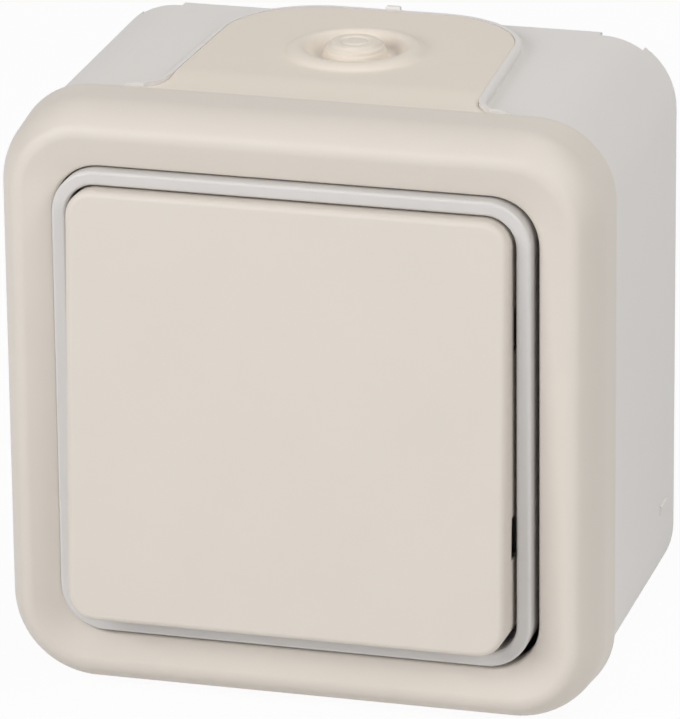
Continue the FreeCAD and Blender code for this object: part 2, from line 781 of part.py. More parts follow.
def make_cradle():
    """Lever with trunnions: plate under the rocker, neck between the cheeks and spring barrel behind."""
    half_x = cheek_inside - cradle_side_clear
    plate_rear = pivot_level + cradle_plate_rise
    plate_front = plate_rear + cradle_plate_t
    neck = block(-half_x, half_x, support_level + cradle_behind_clear, plate_front,
                 -cradle_half_height, cradle_half_height)
    top = block(-cradle_plate_half_x, cradle_plate_half_x, plate_rear, plate_front,
                -cradle_plate_half_z, cradle_plate_half_z)
    axle_end = cheek_inside + cheek_t - axle_end_clear
    axle = bar(trunnion_r, -axle_end, axle_end, pivot_level)
    barrel = rod(barrel_r, pivot_level - barrel_length, pivot_level)
    body = neck.fuse([top, axle, barrel])
    body = body.cut(rod(plunger_r + plunger_clear, pivot_level - barrel_length, pivot_level - barrel_bottom))
    return tilted(body.cut(clip_slots()).removeSplitter())


def make_cradle_spring():
    """Coil spring between the bottom of the barrel and the plunger."""
    radius = plunger_r + plunger_clear - spring_clear - spring_wire_r
    end_room = spring_wire_r + spring_end_clear
    rear = pivot_level - plunger_back + end_room
    height = plunger_back - barrel_bottom - 2 * end_room
    pitch = height / spring_turns
    helix = Part.makeHelix(pitch, height, radius)
    wire = Part.Wire(Part.makeCircle(spring_wire_r, V(radius, 0, 0), V(0, 1, pitch / (2 * math.pi * radius))))
    spring = Part.Wire(helix).makePipeShell([wire], True, True)
    spring.rotate(ORIGIN, RIGHT, 90)
    spring.translate(V(0, -rear, 0))
    return tilted(spring)


def make_plunger():
    """Sprung pin with a ball end that pushes the contact arm."""
    body = rod(plunger_r, pivot_level - plunger_back - plunger_body, pivot_level - plunger_back)
    ball_level = pivot_level - tip_reach + tip_r
    pin = rod(tip_r, ball_level, pivot_level - plunger_back - plunger_body)
    ball = Part.makeSphere(tip_r, V(0, -ball_level, 0))
    return tilted(body.fuse([pin, ball]).removeSplitter())


def make_contact_arm():
    """Brass arm that rocks on the knife edge, with folded sides that guide the plunger."""
    front = arm_level + arm_t
    arm = block(-arm_half_width, arm_half_width, arm_level, front, -arm_half_length, arm_half_length)
    sides = []
    for side in (-1, 1):
        x = sorted([side * arm_half_width, side * (arm_half_width - arm_flange_t)])
        sides.append(block(x[0], x[1], arm_level, front + arm_flange_rise, -arm_flange_half, arm_flange_half))
    arm = arm.fuse(sides)
    arm = arm.cut(bar(knife_r + knife_clear, -arm_half_width, arm_half_width, arm_level))
    return swung(arm.removeSplitter())


def make_moving_tips():
    """Two domed silver tips on the back of the arm."""
    tips = []
    for side in (1, -1):
        z = side * contact_offset
        ball = Part.makeSphere(dome_ball_r, V(0, -(arm_level - dome_height + dome_ball_r), z))
        tips.append(ball.common(rod(dome_r, arm_level - 2 * dome_height, arm_level, 0, z)))
    return swung(Part.Compound(tips))


def make_support_screws():
    """Four screws that hold the dish to the box's posts."""
    places = corners(post_x, post_z)
    return Part.Compound([pan_screw(x, z, dish_floor_level, **support_screw) for x, z in places])


def make_mechanism_screws():
    """Two screws that hold the tray's ears under the dish."""
    places = [(-ear_screw_x, 0), (ear_screw_x, 0)]
    return Part.Compound([pan_screw(x, z, dish_floor_level, **mechanism_screw) for x, z in places])


def make_upper_terminal():
    """The strip of the upper fixed contact."""
    return make_terminal(strip_areas()[1], terminal_places()[1])


def make_lower_terminal():
    """The strip of the lower fixed contact."""
    return make_terminal(strip_areas()[2], terminal_places()[2])


pieces = {
    "mounting_box": make_mounting_box,
    "entry_membrane": make_entry_membrane,
    "front_frame": make_front_frame,
    "frame_gasket": make_frame_gasket,
    "support_ring": make_support_ring,
    "support_screws": make_support_screws,
    "splash_seal": make_splash_seal,
    "mechanism_base": make_mechanism_base,
    "mechanism_cover": make_mechanism_cover,
    "mechanism_screws": make_mechanism_screws,
    "common_terminal": make_common_terminal,
    "upper_terminal": make_upper_terminal,
    "lower_terminal": make_lower_terminal,
    "terminal_screws": make_terminal_screws,
    "fixed_contact_tips": make_fixed_tips,
    "rocker": make_rocker,
    "cradle": make_cradle,
    "cradle_spring": make_cradle_spring,
    "plunger": make_plunger,
    "contact_arm": make_contact_arm,
    "moving_contact_tips": make_moving_tips,
}

os.makedirs("parts", exist_ok=True)
for name, make in pieces.items():
    make().exportStep("parts/" + name + ".step")
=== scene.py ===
# %% [markdown]
# An outdoor weatherproof switch: a light grey wall box, a cream cover frame with soft shoulders, a large
# rocker in a pale grey ring, and a soft cable entry let into the top. The imported CAD model is loaded first
# and stays where it is. The looks are built round it in metres and in the same frame: X runs to the right,
# Z up, the wall is the plane Y = 0 and the front faces -Y. The box of the CAD model is kept, and the floor
# is set just under it.

# %% Load the imported switch
import json
import math
import bmesh
import bpy
import numpy as np
from mathutils import Matrix, Vector


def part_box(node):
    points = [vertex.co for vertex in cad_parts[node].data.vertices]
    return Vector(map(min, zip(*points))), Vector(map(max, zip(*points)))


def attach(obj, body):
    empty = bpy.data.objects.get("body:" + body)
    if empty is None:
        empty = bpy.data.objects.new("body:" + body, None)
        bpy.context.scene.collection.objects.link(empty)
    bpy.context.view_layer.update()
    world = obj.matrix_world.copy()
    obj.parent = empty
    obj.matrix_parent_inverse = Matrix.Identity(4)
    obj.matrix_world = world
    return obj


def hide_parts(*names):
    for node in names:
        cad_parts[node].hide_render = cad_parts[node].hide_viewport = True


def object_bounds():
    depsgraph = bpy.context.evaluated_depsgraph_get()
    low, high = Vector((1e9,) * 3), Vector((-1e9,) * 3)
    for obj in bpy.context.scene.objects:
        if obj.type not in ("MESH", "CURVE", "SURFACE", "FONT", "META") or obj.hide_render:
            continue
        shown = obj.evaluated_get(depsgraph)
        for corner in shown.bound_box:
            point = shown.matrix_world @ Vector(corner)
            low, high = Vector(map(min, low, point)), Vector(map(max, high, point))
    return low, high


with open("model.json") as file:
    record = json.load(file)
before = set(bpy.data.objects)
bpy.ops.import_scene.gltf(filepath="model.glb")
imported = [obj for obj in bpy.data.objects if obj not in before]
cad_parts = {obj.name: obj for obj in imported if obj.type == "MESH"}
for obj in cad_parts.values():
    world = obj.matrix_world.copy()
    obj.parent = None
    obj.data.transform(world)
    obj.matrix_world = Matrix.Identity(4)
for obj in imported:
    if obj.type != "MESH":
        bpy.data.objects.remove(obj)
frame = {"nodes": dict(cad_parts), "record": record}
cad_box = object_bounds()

MM = 0.001
nodes = frame["nodes"]
print("CAD pieces:", len(nodes), "box in mm:", [[round(c / MM, 1) for c in corner] for corner in cad_box])

# %% [markdown]
# Both new pieces, the cover frame and the soft entry, are moulded skins. They could be drawn by hand as
# subdivision surfaces, but their real shape is a section carried round a path, so each is worked out as one
# grid of points: a row for every point of the section, a column for every place on the path. A grid that
# closes on itself needs no seam, and a row that shrinks to one point closes as a pole once its doubles are
# merged.

# %% From a grid of points to a mesh
SHARP_ANGLE = math.radians(38)
MERGE_DISTANCE = 0.0005 * MM


def grid_faces(rows, columns, closed_rows):
    """Quads between neighbouring rows and columns: the columns wrap round, the rows only where asked."""
    row = np.arange(rows if closed_rows else rows - 1)[:, None]
    column = np.arange(columns)[None, :]
    next_row = (row + 1) % rows
    next_column = (column + 1) % columns
    corners = (row * columns + column, row * columns + next_column,
               next_row * columns + next_column, next_row * columns + column)
    return np.stack(np.broadcast_arrays(*corners), axis=-1).reshape(-1, 4)


def moulded_skin(name, shells):
    """A mesh object from closed shells, each an array of points in mm and its faces, with soft shading."""
    first = np.cumsum([0] + [len(points) for points, _ in shells])
    points = np.concatenate([points for points, _ in shells]) * MM
    faces = np.concatenate([quads + start for (_, quads), start in zip(shells, first)])
    mesh = bpy.data.meshes.new(name)
    mesh.from_pydata(points.tolist(), [], faces.tolist())
    skin = bpy.data.objects.new(name, mesh)
    bpy.context.scene.collection.objects.link(skin)
    close_skin(mesh)
    print(name, "points:", len(mesh.vertices), "faces:", len(mesh.polygons))
    return skin


def close_skin(mesh):
    """Merges the doubled points of poles, turns every face outwards and keeps only real edges sharp."""
    work = bmesh.new()
    work.from_mesh(mesh)
    bmesh.ops.remove_doubles(work, verts=work.verts, dist=MERGE_DISTANCE)
    bmesh.ops.recalc_face_normals(work, faces=work.faces)
    work.to_mesh(mesh)
    work.free()
    mesh.shade_smooth()
    mesh.set_sharp_from_angle(angle=SHARP_ANGLE)


print("faces between 4 rows of 5 points, with the rows closed:", len(grid_faces(4, 5, closed_rows=True)))

# %% [markdown]
# The cover frame is the piece that gives the switch its look: a straight side, a large soft shoulder, a
# tighter crest, and a face that slopes back to the mouth. Its section is written as inset from the outer
# outline and level in front of the wall. Arcs could come from a Bevel modifier, but a modifier knows
# nothing of the true radii, so they are computed: the crest's circle is given, and the shoulder's arc is
# the one of its radius that runs smoothly from the straight side into that circle.

# %% Section of the cover frame
_, frame_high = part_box("front_frame")
frame_half = frame_high.x / MM
rear_level = -frame_high.y / MM
corner_r = 11.1
rear_corner_r = 10.0
rear_round = 0.35
shoulder_r, crest_r, face_slope = 7.0, 2.0, 14.0
crest_centre = (3.516, 45.995)
mouth_inset, mouth_corner_r, mouth_round = 7.4, 6.2, 0.4
wall_inset, ledge_inset, lip_inset = 2.2, 4.65, 5.8
ledge_rise, under_level, lip_level = 5.0, 44.89, 44.49
REAR_STEPS, WALL_STEPS, SHOULDER_STEPS, CREST_STEPS, FACE_STEPS, MOUTH_STEPS = 7, 8, 16, 24, 10, 8


def arc(centre_inset, centre_level, radius, start, end, count):
    """Points of an arc: the angle is 0 outwards, 90 forwards and 180 towards the mouth."""
    angle = np.radians(np.linspace(start, end, count))
    return np.stack([centre_inset - radius * np.cos(angle), centre_level + radius * np.sin(angle)], 1)


def straight(start, end, count):
    """Points of a straight run, without its end."""
    share = np.arange(count)[:, None] / count
    return np.asarray(start) + share * (np.asarray(end) - np.asarray(start))


def face_level(inset, start):
    """Level of the sloping face: it falls from its start at the crest by the tangent of its slope."""
    return start[1] - (inset - start[0]) * math.tan(math.radians(face_slope))


face_turn = 90 + face_slope
shoulder_turn = math.degrees(math.acos((shoulder_r - crest_centre[0]) / (shoulder_r - crest_r)))
side_level = crest_centre[1] - (shoulder_r - crest_r) * math.sin(math.radians(shoulder_turn))
rear_edge = arc(rear_round, rear_level + rear_round, rear_round, -90, 0, REAR_STEPS)
side = straight((0, rear_level + rear_round), (0, side_level), WALL_STEPS)[1:]
shoulder = arc(shoulder_r, side_level, shoulder_r, 0, shoulder_turn, SHOULDER_STEPS)
crest = arc(*crest_centre, crest_r, shoulder_turn, face_turn, CREST_STEPS)[1:]
crest_end = crest[-1]
mouth_start = mouth_inset - mouth_round * (1 + math.cos(math.radians(face_turn)))
mouth_start_level = face_level(mouth_start, crest_end)
face = straight(crest_end, (mouth_start, mouth_start_level), FACE_STEPS)[1:]
mouth_centre = mouth_start_level - mouth_round * math.sin(math.radians(face_turn))
mouth_edge = arc(mouth_inset - mouth_round, mouth_centre, mouth_round, face_turn, 180, MOUTH_STEPS)
ledge_level = rear_level + ledge_rise
inside = np.array([(mouth_inset, lip_level), (lip_inset, lip_level), (lip_inset, under_level),
                   (ledge_inset, under_level), (ledge_inset, ledge_level), (wall_inset, ledge_level),
                   (wall_inset, rear_level)])
section = np.concatenate([rear_edge, side, shoulder, crest, face, mouth_edge, inside])
print("cover section points:", len(section), "crest level:", round(section[:, 1].max(), 2))

# %% [markdown]
# The path is a square with round corners. Every row of the section has its own inset and corner radius, so
# the whole cover is one array operation: a point of the square at its corner radius, for all rows and
# columns at once. Real mouldings of this kind hold the wall thickness round a corner, so the radius shrinks
# with the inset as far as the crest. On the face it stays almost constant, and the level there follows the
# distance from the outer outline, which keeps the slope even in the corners too. Inside, the first rows
# still follow the mouth.

# %% Carry the section round the square
CORNER_STEPS, SIDE_STEPS = 20, 10
LIP_ROWS = 3


def square_path(half_x, half_z, radius):
    """Rows of points on squares with round corners: corner centres plus the radius times a turning arrow.

    The arguments are columns, one value a row. Between two corners the run is divided evenly.
    """
    turn = np.linspace(0, np.pi / 2, CORNER_STEPS)
    sign_x, sign_z = np.array([1, -1, -1, 1]), np.array([1, 1, -1, -1])
    angle = turn[None, :] + np.arange(4)[:, None] * np.pi / 2
    x = sign_x[None, :, None] * (half_x - radius)[:, None, None] + radius[:, None, None] * np.cos(angle)
    z = sign_z[None, :, None] * (half_z - radius)[:, None, None] + radius[:, None, None] * np.sin(angle)
    share = np.arange(1, SIDE_STEPS) / SIDE_STEPS
    run_x = x[:, :, -1:] + share * (np.roll(x, -1, 1)[:, :, :1] - x[:, :, -1:])
    run_z = z[:, :, -1:] + share * (np.roll(z, -1, 1)[:, :, :1] - z[:, :, -1:])
    rows = len(half_x)
    return np.concatenate([x, run_x], 2).reshape(rows, -1), np.concatenate([z, run_z], 2).reshape(rows, -1)


def outline_inset(x, z):
    """Inset of points from the outer outline: the distance inwards from a square with round corners."""
    out_x, out_z = np.abs(x) - (frame_half - corner_r), np.abs(z) - (frame_half - corner_r)
    round_part = np.hypot(np.maximum(out_x, 0), np.maximum(out_z, 0))
    straight_part = np.minimum(np.maximum(out_x, out_z), 0)
    return corner_r - round_part - straight_part


inset, level = section[:, 0], section[:, 1]
inside_start = len(section) - len(inside)
on_side = slice(0, len(rear_edge) + len(side))
on_face = slice(inside_start - len(mouth_edge) - len(face), inside_start)
on_lip = slice(inside_start, inside_start + LIP_ROWS)
radius = corner_r - inset
rise = np.clip((level - rear_level) / (side_level - rear_level), 0, 1)
radius[on_side] += ((rear_corner_r - corner_r) * (1 - rise))[on_side]
face_share = np.clip((inset - crest_end[0]) / (mouth_inset - crest_end[0]), 0, 1)
radius[on_face] = (radius[on_face.start - 1] * (1 - face_share) + mouth_corner_r * face_share)[on_face]
radius[on_lip] = mouth_corner_r + mouth_inset - inset[on_lip]
cover_x, cover_z = square_path(frame_half - inset, frame_half - inset, radius)
cover_level = np.repeat(level[:, None], cover_x.shape[1], 1)
sink = outline_inset(cover_x, cover_z)[on_face] - inset[on_face, None]
cover_level[on_face] -= math.tan(math.radians(face_slope)) * sink
cover_points = np.stack([cover_x, -cover_level, cover_z], -1).reshape(-1, 3)
cover_shell = (cover_points, grid_faces(*cover_x.shape, closed_rows=True))
print("cover grid:", cover_x.shape)

# %% [markdown]
# Inside, four small wedges snap behind the box's spigot and hold the cover on. Each is a five-sided section
# pulled along the wall, and the other three are quarter turns of the first. The ends close like poles: a row
# of points that all lie in the middle of the section. With the catches the cover is complete, so it takes
# the place of the CAD frame, whose form it keeps.

# %% Catches, and the cover in its place
catch_width, catch_reach, catch_root = 12.0, 0.55, 0.3
catch_start, catch_peak, catch_end = 0.8, 1.7, 2.6
catch_levels = rear_level + np.array([catch_start, catch_peak, catch_end, catch_end, catch_start])
catch_insets = wall_inset + np.array([0, catch_reach, catch_reach, -catch_root, -catch_root])


def catch_shell(quarter):
    """A wedge on one wall: the middle of its section, the section at both ends, and the middle again."""
    along = np.repeat(np.array([-0.5, -0.5, 0.5, 0.5])[:, None], 5, 1) * catch_width
    across = np.repeat((frame_half - catch_insets)[None, :], 4, 0)
    depth = np.repeat(-catch_levels[None, :], 4, 0)
    across[[0, 3]] = across[1].mean()
    depth[[0, 3]] = depth[1].mean()
    turn = quarter * math.pi / 2
    x = across * math.cos(turn) - along * math.sin(turn)
    z = across * math.sin(turn) + along * math.cos(turn)
    return np.stack([x, depth, z], -1).reshape(-1, 3), grid_faces(4, 5, closed_rows=False)


cover = moulded_skin("cover_frame", [cover_shell] + [catch_shell(quarter) for quarter in range(4)])
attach(cover, "housing")
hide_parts("front_frame")

# %% [markdown]
# The cable enters through a soft moulded panel in the top of the box: a thin sheet with a low broad bead, a
# trough that lets the middle move, and a stepped knob that is cut to the cable's size. All of that could be
# sculpted, but it is round about one axis, so a section is enough. Soft mouldings have no crisp edge, so the
# section is a short run of corner points softened by corner cutting: every pass replaces a corner by two
# points a quarter of the way along its sides. The heights are above the sheet.

# %% Section of the soft entry
entry_low, entry_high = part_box("entry_membrane")
entry_x = (entry_low.x + entry_high.x) / 2 / MM
entry_rear, entry_front = entry_high.y / MM, entry_low.y / MM
entry_y = -18.7
sheet_z = 38.4
knob_z = entry_high.z / MM
flange_z = entry_low.z / MM
SOFT_PASSES = 3


def softened(points, passes):
    """Corner cutting: each pass puts two points on every side, a quarter and three quarters along it."""
    for _ in range(passes):
        ahead = np.diff(points, axis=0)
        cut = np.stack([points[:-1] + 0.25 * ahead, points[:-1] + 0.75 * ahead], 1).reshape(-1, 2)
        points = np.concatenate([points[:1], cut, points[-1:]])
    return points


knob_rise = knob_z - sheet_z
groove_z = knob_rise - 0.2
knob_top = [(0.0, knob_rise), (1.3, knob_rise), (1.55, groove_z), (1.8, groove_z), (2.05, knob_rise),
            (3.05, knob_rise)]
knob_steps = [(3.25, 0.92), (3.65, 0.86), (3.74, 0.38), (3.9, 0.3)]
trough = [(4.05, -0.7), (5.15, -0.8), (5.7, -0.3)]
bead = [(6.5, 0.72), (7.4, 0.86), (8.3, 0.6), (8.9, 0.06), (9.6, 0.0)]
grommet = softened(np.array(knob_top + knob_steps + trough + bead), SOFT_PASSES)
bead_height = grommet[grommet[:, 0] > trough[-1][0], 1].max()
print("entry section points:", len(grommet), "bead height in mm:", round(bead_height, 2))

# %% [markdown]
# Seen from above, the sheet is a plate with round rear corners whose sides run out in a small flare where
# they meet the cover. It could be traced as a curve and filled, but a filled curve has long thin faces that
# shade badly. Here the outline is worked out from its radii as a ring of points about the grommet, which the
# next step can grow from a circle.

# %% Outline of the sheet
rear_half, front_half, sheet_corner_r, flare_r, flare_run = 18.68, 19.58, 11.98, 5.12, 4.2
OUTLINE_STEPS = 28


def half_outline():
    """The right half of the sheet, from the middle of the rear edge to the middle of the front edge.

    A straight rear edge, a quarter arc, a straight side, the flare's arc and the straight front edge.
    """
    share = np.linspace(0, 1, OUTLINE_STEPS)
    turn = share * np.pi / 2
    flare_start = entry_front + flare_run
    bend = share * math.asin(flare_run / flare_r)
    tip = front_half + flare_r * (1 - math.cos(bend[-1]))
    arc_x, arc_y = rear_half - sheet_corner_r, entry_rear - sheet_corner_r
    x = np.concatenate([share[:-1] * arc_x, arc_x + sheet_corner_r * np.sin(turn),
                        rear_half + share[1:-1] * (front_half - rear_half),
                        front_half + flare_r * (1 - np.cos(bend)), tip * (1 - share[1:])])
    y = np.concatenate([np.full(OUTLINE_STEPS - 1, entry_rear), arc_y + sheet_corner_r * np.cos(turn),
                        arc_y + share[1:-1] * (flare_start - arc_y),
                        flare_start - flare_r * np.sin(bend), np.full(OUTLINE_STEPS - 1, entry_front)])
    return np.stack([x, y - entry_y], 1)


right_half = half_outline()
left_half = right_half[-2:0:-1] * (-1, 1)
outline = np.concatenate([right_half, left_half])
print("sheet outline points:", len(outline))

# %% [markdown]
# Every point of the outline can be seen from the middle of the grommet, so the sheet is a polar grid: rings
# round the grommet that grow from a circle to the outline. The same rings go on over the edge, in under the
# sheet, and down to the flange that snaps into the box, as far as the hollow behind the knob, so the whole
# entry is one closed skin. Towards the cover the sheet dips a little, and there it meets the cover's rear
# edge flush.

# %% Rings of the entry, and the entry in its place
sheet_edge_r, sheet_t = 0.15, 1.0
front_dip, dip_run = 0.62, 7.0
neck_r, neck_z, flange_r, hollow_r, web_z = 9.85, 35.3, 10.9, 7.4, 36.6
knob_hollow_r, knob_hollow_z = 2.9, 37.4
SHEET_RINGS, EDGE_RINGS = 14, 6

reach = np.hypot(outline[:, 0], outline[:, 1])
arrow = outline / reach[:, None]
rings = [(np.full_like(reach, r), z) for r, z in grommet]
rings += [(grommet[-1, 0] + share * (reach - sheet_edge_r - grommet[-1, 0]), 0.0)
          for share in np.linspace(0, 1, SHEET_RINGS)[1:]]
rings += [(reach - sheet_edge_r * (1 - math.sin(turn)), -sheet_edge_r * (1 - math.cos(turn)))
          for turn in np.linspace(0, np.pi / 2, EDGE_RINGS)[1:]]
upper_rings = len(rings)
plug = [(neck_r, sheet_z - sheet_t), (neck_r, neck_z), (flange_r, neck_z), (flange_r, flange_z),
        (hollow_r, flange_z), (hollow_r, web_z), (knob_hollow_r, web_z), (knob_hollow_r, knob_hollow_z),
        (0.0, knob_hollow_z)]
rings += [(reach, -sheet_t)]
rings += [(np.full_like(reach, r), z - sheet_z) for r, z in plug]
ring_r = np.array([r for r, _ in rings])
ring_z = np.repeat(np.array([z for _, z in rings])[:, None], len(outline), 1)
ring_x, ring_y = entry_x + ring_r * arrow[:, 0], entry_y + ring_r * arrow[:, 1]
forward = np.clip((entry_front + dip_run - ring_y[:upper_rings]) / dip_run, 0, 1)
ring_z[:upper_rings] -= front_dip * forward ** 2 * (3 - 2 * forward)
entry_points = np.stack([ring_x, ring_y, sheet_z + ring_z], -1)
entry_shell = (entry_points.reshape(-1, 3), grid_faces(*ring_r.shape, closed_rows=False))

entry = moulded_skin("soft_entry", [entry_shell])
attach(entry, "housing")
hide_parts("entry_membrane")

# %% [markdown]
# Shader maths reads best as plain sums. Nodes could be added and linked one by one, but then a sum of three
# terms takes a dozen lines. Here a socket is wrapped in a small class whose operators each add one Math node,
# so that a line such as `0.4 + 0.1 * grain` builds the nodes it names.

# %% A socket that does sums
class Value:
    """A node's output socket with arithmetic: each operator adds a Math node to the same tree."""

    def __init__(self, tree, socket):
        self.tree = tree
        self.socket = socket

    def math(self, operation, first, second):
        """One Math node on two values, each a number or a wrapped socket."""
        node = self.tree.nodes.new("ShaderNodeMath")
        node.operation = operation
        for slot, value in zip(node.inputs, (first, second)):
            feed(self.tree, slot, value)
        return Value(self.tree, node.outputs[0])

    def __add__(self, other):
        return self.math("ADD", self, other)

    def __sub__(self, other):
        return self.math("SUBTRACT", self, other)

    def __rsub__(self, other):
        return self.math("SUBTRACT", other, self)

    def __mul__(self, other):
        return self.math("MULTIPLY", self, other)

    __radd__ = __add__
    __rmul__ = __mul__


def feed(tree, slot, value):
    """Puts a number, a colour or a wrapped socket into an input socket."""
    if isinstance(value, Value):
        tree.links.new(value.socket, slot)
    else:
        slot.default_value = value


print("a wrapped socket takes +, - and * with numbers and other sockets")

# %% [markdown]
# A finish is one Principled shader and the nodes that feed it. Every node but the sums comes from one method,
# which takes the node's type, its settings and what goes into its sockets. All patterns are read in Object
# coordinates, which are metres on the object itself and do not stretch with a piece's box. Colours are
# written as they look on a screen and turned into the linear light that a shader adds up.

# %% One finish: a Principled shader and what feeds it
class Finish:
    """One material: a Principled shader and the nodes that feed it, read in Object coordinates."""

    def __init__(self, name):
        self.material = bpy.data.materials.new(name)
        self.material.use_nodes = True
        self.tree = self.material.node_tree
        self.shader = self.tree.nodes["Principled BSDF"]
        self.place = self.node("TexCoord")["Object"]

    def node(self, kind, settings=None, **inputs):
        """Adds a node of a type: its settings first, then its sockets. Returns its outputs by name."""
        node = self.tree.nodes.new("ShaderNode" + kind)
        for key, setting in (settings or {}).items():
            setattr(node, key, setting)
        for key, value in inputs.items():
            matching = [s for s in node.inputs if s.name.replace(" ", "_") == key and s.enabled]
            feed(self.tree, matching[0], value)
        return {s.name: Value(self.tree, s) for s in node.outputs if s.enabled}

    def noise(self, size, detail=2.0, roughness=0.5, stretch=(1, 1, 1)):
        """Noise from 0 to 1 with features of a size in metres, drawn out along an axis if asked."""
        place = self.node("Mapping", Vector=self.place, Scale=[1 / s for s in stretch])["Vector"]
        return self.node("TexNoise", Vector=place, Scale=1 / size, Detail=detail, Roughness=roughness)["Fac"]

    def blend(self, factor, first, second):
        """A colour between two colours."""
        return self.node("Mix", {"data_type": "RGBA"}, Factor=factor, A=first, B=second)["Result"]

    def bump(self, height, distance):
        """A surface normal from a height between 0 and 1 that stands for a real distance in metres."""
        return self.node("Bump", Strength=1.0, Distance=distance, Height=height)["Normal"]

    def shade(self, **inputs):
        """Sets the Principled shader's sockets."""
        for key, value in inputs.items():
            feed(self.tree, self.shader.inputs[key.replace("_", " ")], value)
        return self.material


def linear(red, green, blue):
    """A colour given as it looks on a screen, 0 to 255, as the linear colour that a shader takes."""
    screen = np.array([red, green, blue]) / 255
    values = np.where(screen <= 0.04045, screen / 12.92, ((screen + 0.055) / 1.055) ** 2.4)
    return (*[float(v) for v in values], 1.0)


def scaled(colour, factor):
    """A linear colour made lighter or darker."""
    return (*[c * factor for c in colour[:3]], 1.0)


print("middle grey of a screen in linear light:", [round(c, 3) for c in linear(128, 128, 128)[:3]])

# %% [markdown]
# The plastics are moulded in a tool whose steel was spark-eroded, so they carry a fine dull grain a few
# thousandths of a millimetre deep, and their sheen wanders a little where the melt flowed. A flat colour
# would look like paper, so a faint cloud runs through colour and roughness, and the grain is a bump. The
# soft entry is duller and has a finer grain, and the box is greyer than the cover.

# %% Plastics of the switch
GRAIN_SIZE, GRAIN_DEPTH, SOFT_GRAIN_DEPTH, CLOUD_SIZE = 0.22 * MM, 0.004 * MM, 0.002 * MM, 14 * MM
CLOUD_SHEEN, GRAIN_SHEEN = 0.10, 0.08


def moulded_plastic(name, colour, roughness, grain_depth=GRAIN_DEPTH, mottle=0.02):
    """Moulded plastic: faint clouds in the colour, a fine spark-eroded grain and a wandering sheen."""
    finish = Finish(name)
    grain = finish.noise(GRAIN_SIZE, detail=1.5)
    cloud = finish.noise(CLOUD_SIZE, detail=3.0)
    tint = finish.blend(cloud, scaled(colour, 1 - mottle), scaled(colour, 1 + mottle))
    sheen = roughness + CLOUD_SHEEN * (cloud - 0.5) + GRAIN_SHEEN * (grain - 0.5)
    return finish.shade(Base_Color=tint, Roughness=sheen, Normal=finish.bump(grain, grain_depth))


finishes = {
    "cream_plastic": moulded_plastic("cream_plastic", linear(221, 213, 203), 0.50),
    "grey_plastic": moulded_plastic("grey_plastic", linear(229, 225, 221), 0.52),
    "light_grey_plastic": moulded_plastic("light_grey_plastic", linear(215, 212, 210), 0.45),
    "soft_cream": moulded_plastic("soft_cream", linear(233, 223, 210), 0.60, SOFT_GRAIN_DEPTH),
    "insulating_plastic": moulded_plastic("insulating_plastic", linear(196, 194, 188), 0.50),
    "white_plastic": moulded_plastic("white_plastic", linear(232, 231, 227), 0.40),
}
print("plastics:", sorted(finishes))

# %% [markdown]
# Inside sit seals of black rubber and the switch's metals. Rubber is dull with a faint bloom of pale dust.
# Drawn and stamped metal shows fine lines along the way it was pulled, so its noise is drawn out along the
# wall's normal, and a slower noise tarnishes it in patches. None of it shows in the photo, so these finishes
# follow what is usual for such parts.

# %% Rubber and metals inside
BLOOM_SIZE, BLOOM_SHARE, RUBBER_ROUGHNESS, BLOOM_SHEEN = 3 * MM, 0.25, 0.62, 0.16
LINE_SIZE, LINE_DEPTH, LINE_STRETCH, LINE_SHEEN = 0.12 * MM, 0.002 * MM, (1, 12, 1), 0.12
TARNISH_SIZE, TARNISH_SHARE, TARNISH_SHEEN = 2.5 * MM, 0.5, 0.15


def seal_rubber(name, colour, bloom):
    """Black rubber: a dark base with a pale bloom in patches and a dull, slightly uneven surface."""
    finish = Finish(name)
    patch = finish.noise(BLOOM_SIZE, detail=4.0)
    grain = finish.noise(GRAIN_SIZE, detail=2.0)
    tint = finish.blend(BLOOM_SHARE * patch, colour, bloom)
    sheen = RUBBER_ROUGHNESS + BLOOM_SHEEN * patch
    return finish.shade(Base_Color=tint, Roughness=sheen, Normal=finish.bump(grain, GRAIN_DEPTH))


def drawn_metal(name, colour, tarnish, roughness):
    """Stamped or drawn metal: fine lines along the draw, and tarnish that darkens and dulls it in patches."""
    finish = Finish(name)
    lines = finish.noise(LINE_SIZE, detail=2.0, stretch=LINE_STRETCH)
    patch = finish.noise(TARNISH_SIZE, detail=3.0)
    tint = finish.blend(TARNISH_SHARE * patch, colour, tarnish)
    sheen = roughness + LINE_SHEEN * (lines - 0.5) + TARNISH_SHEEN * (patch - 0.5)
    relief = finish.bump(lines, LINE_DEPTH)
    return finish.shade(Base_Color=tint, Metallic=1.0, Roughness=sheen, Normal=relief)


finishes["black_rubber"] = seal_rubber("black_rubber", linear(38, 37, 36), linear(92, 90, 88))
finishes["steel"] = drawn_metal("steel", linear(202, 202, 205), linear(150, 150, 155), 0.32)
finishes["spring_steel"] = drawn_metal("spring_steel", linear(172, 172, 176), linear(112, 110, 112), 0.28)
finishes["brass"] = drawn_metal("brass", linear(226, 194, 124), linear(176, 138, 78), 0.30)
finishes["silver"] = drawn_metal("silver", linear(232, 230, 226), linear(190, 184, 172), 0.26)
print("all finishes:", sorted(finishes))

# %% [markdown]
# Each CAD piece has a material slot in the record, and takes the finish of that name. Finishes could be set
# piece by piece, but that would only repeat the record, and a loop follows it when it changes. The two new
# skins take theirs in the same way.

# %% Dress every piece
slots = {part["node"]: part["material_slot"] for part in frame["record"]["subparts"]}
dressed = [(nodes[name], slot) for name, slot in slots.items()]
dressed += [(cover, "cream_plastic"), (entry, "soft_cream")]
for piece, slot_name in dressed:
    piece.data.materials.clear()
    piece.data.materials.append(finishes[slot_name])
print("dressed pieces:", len(dressed))

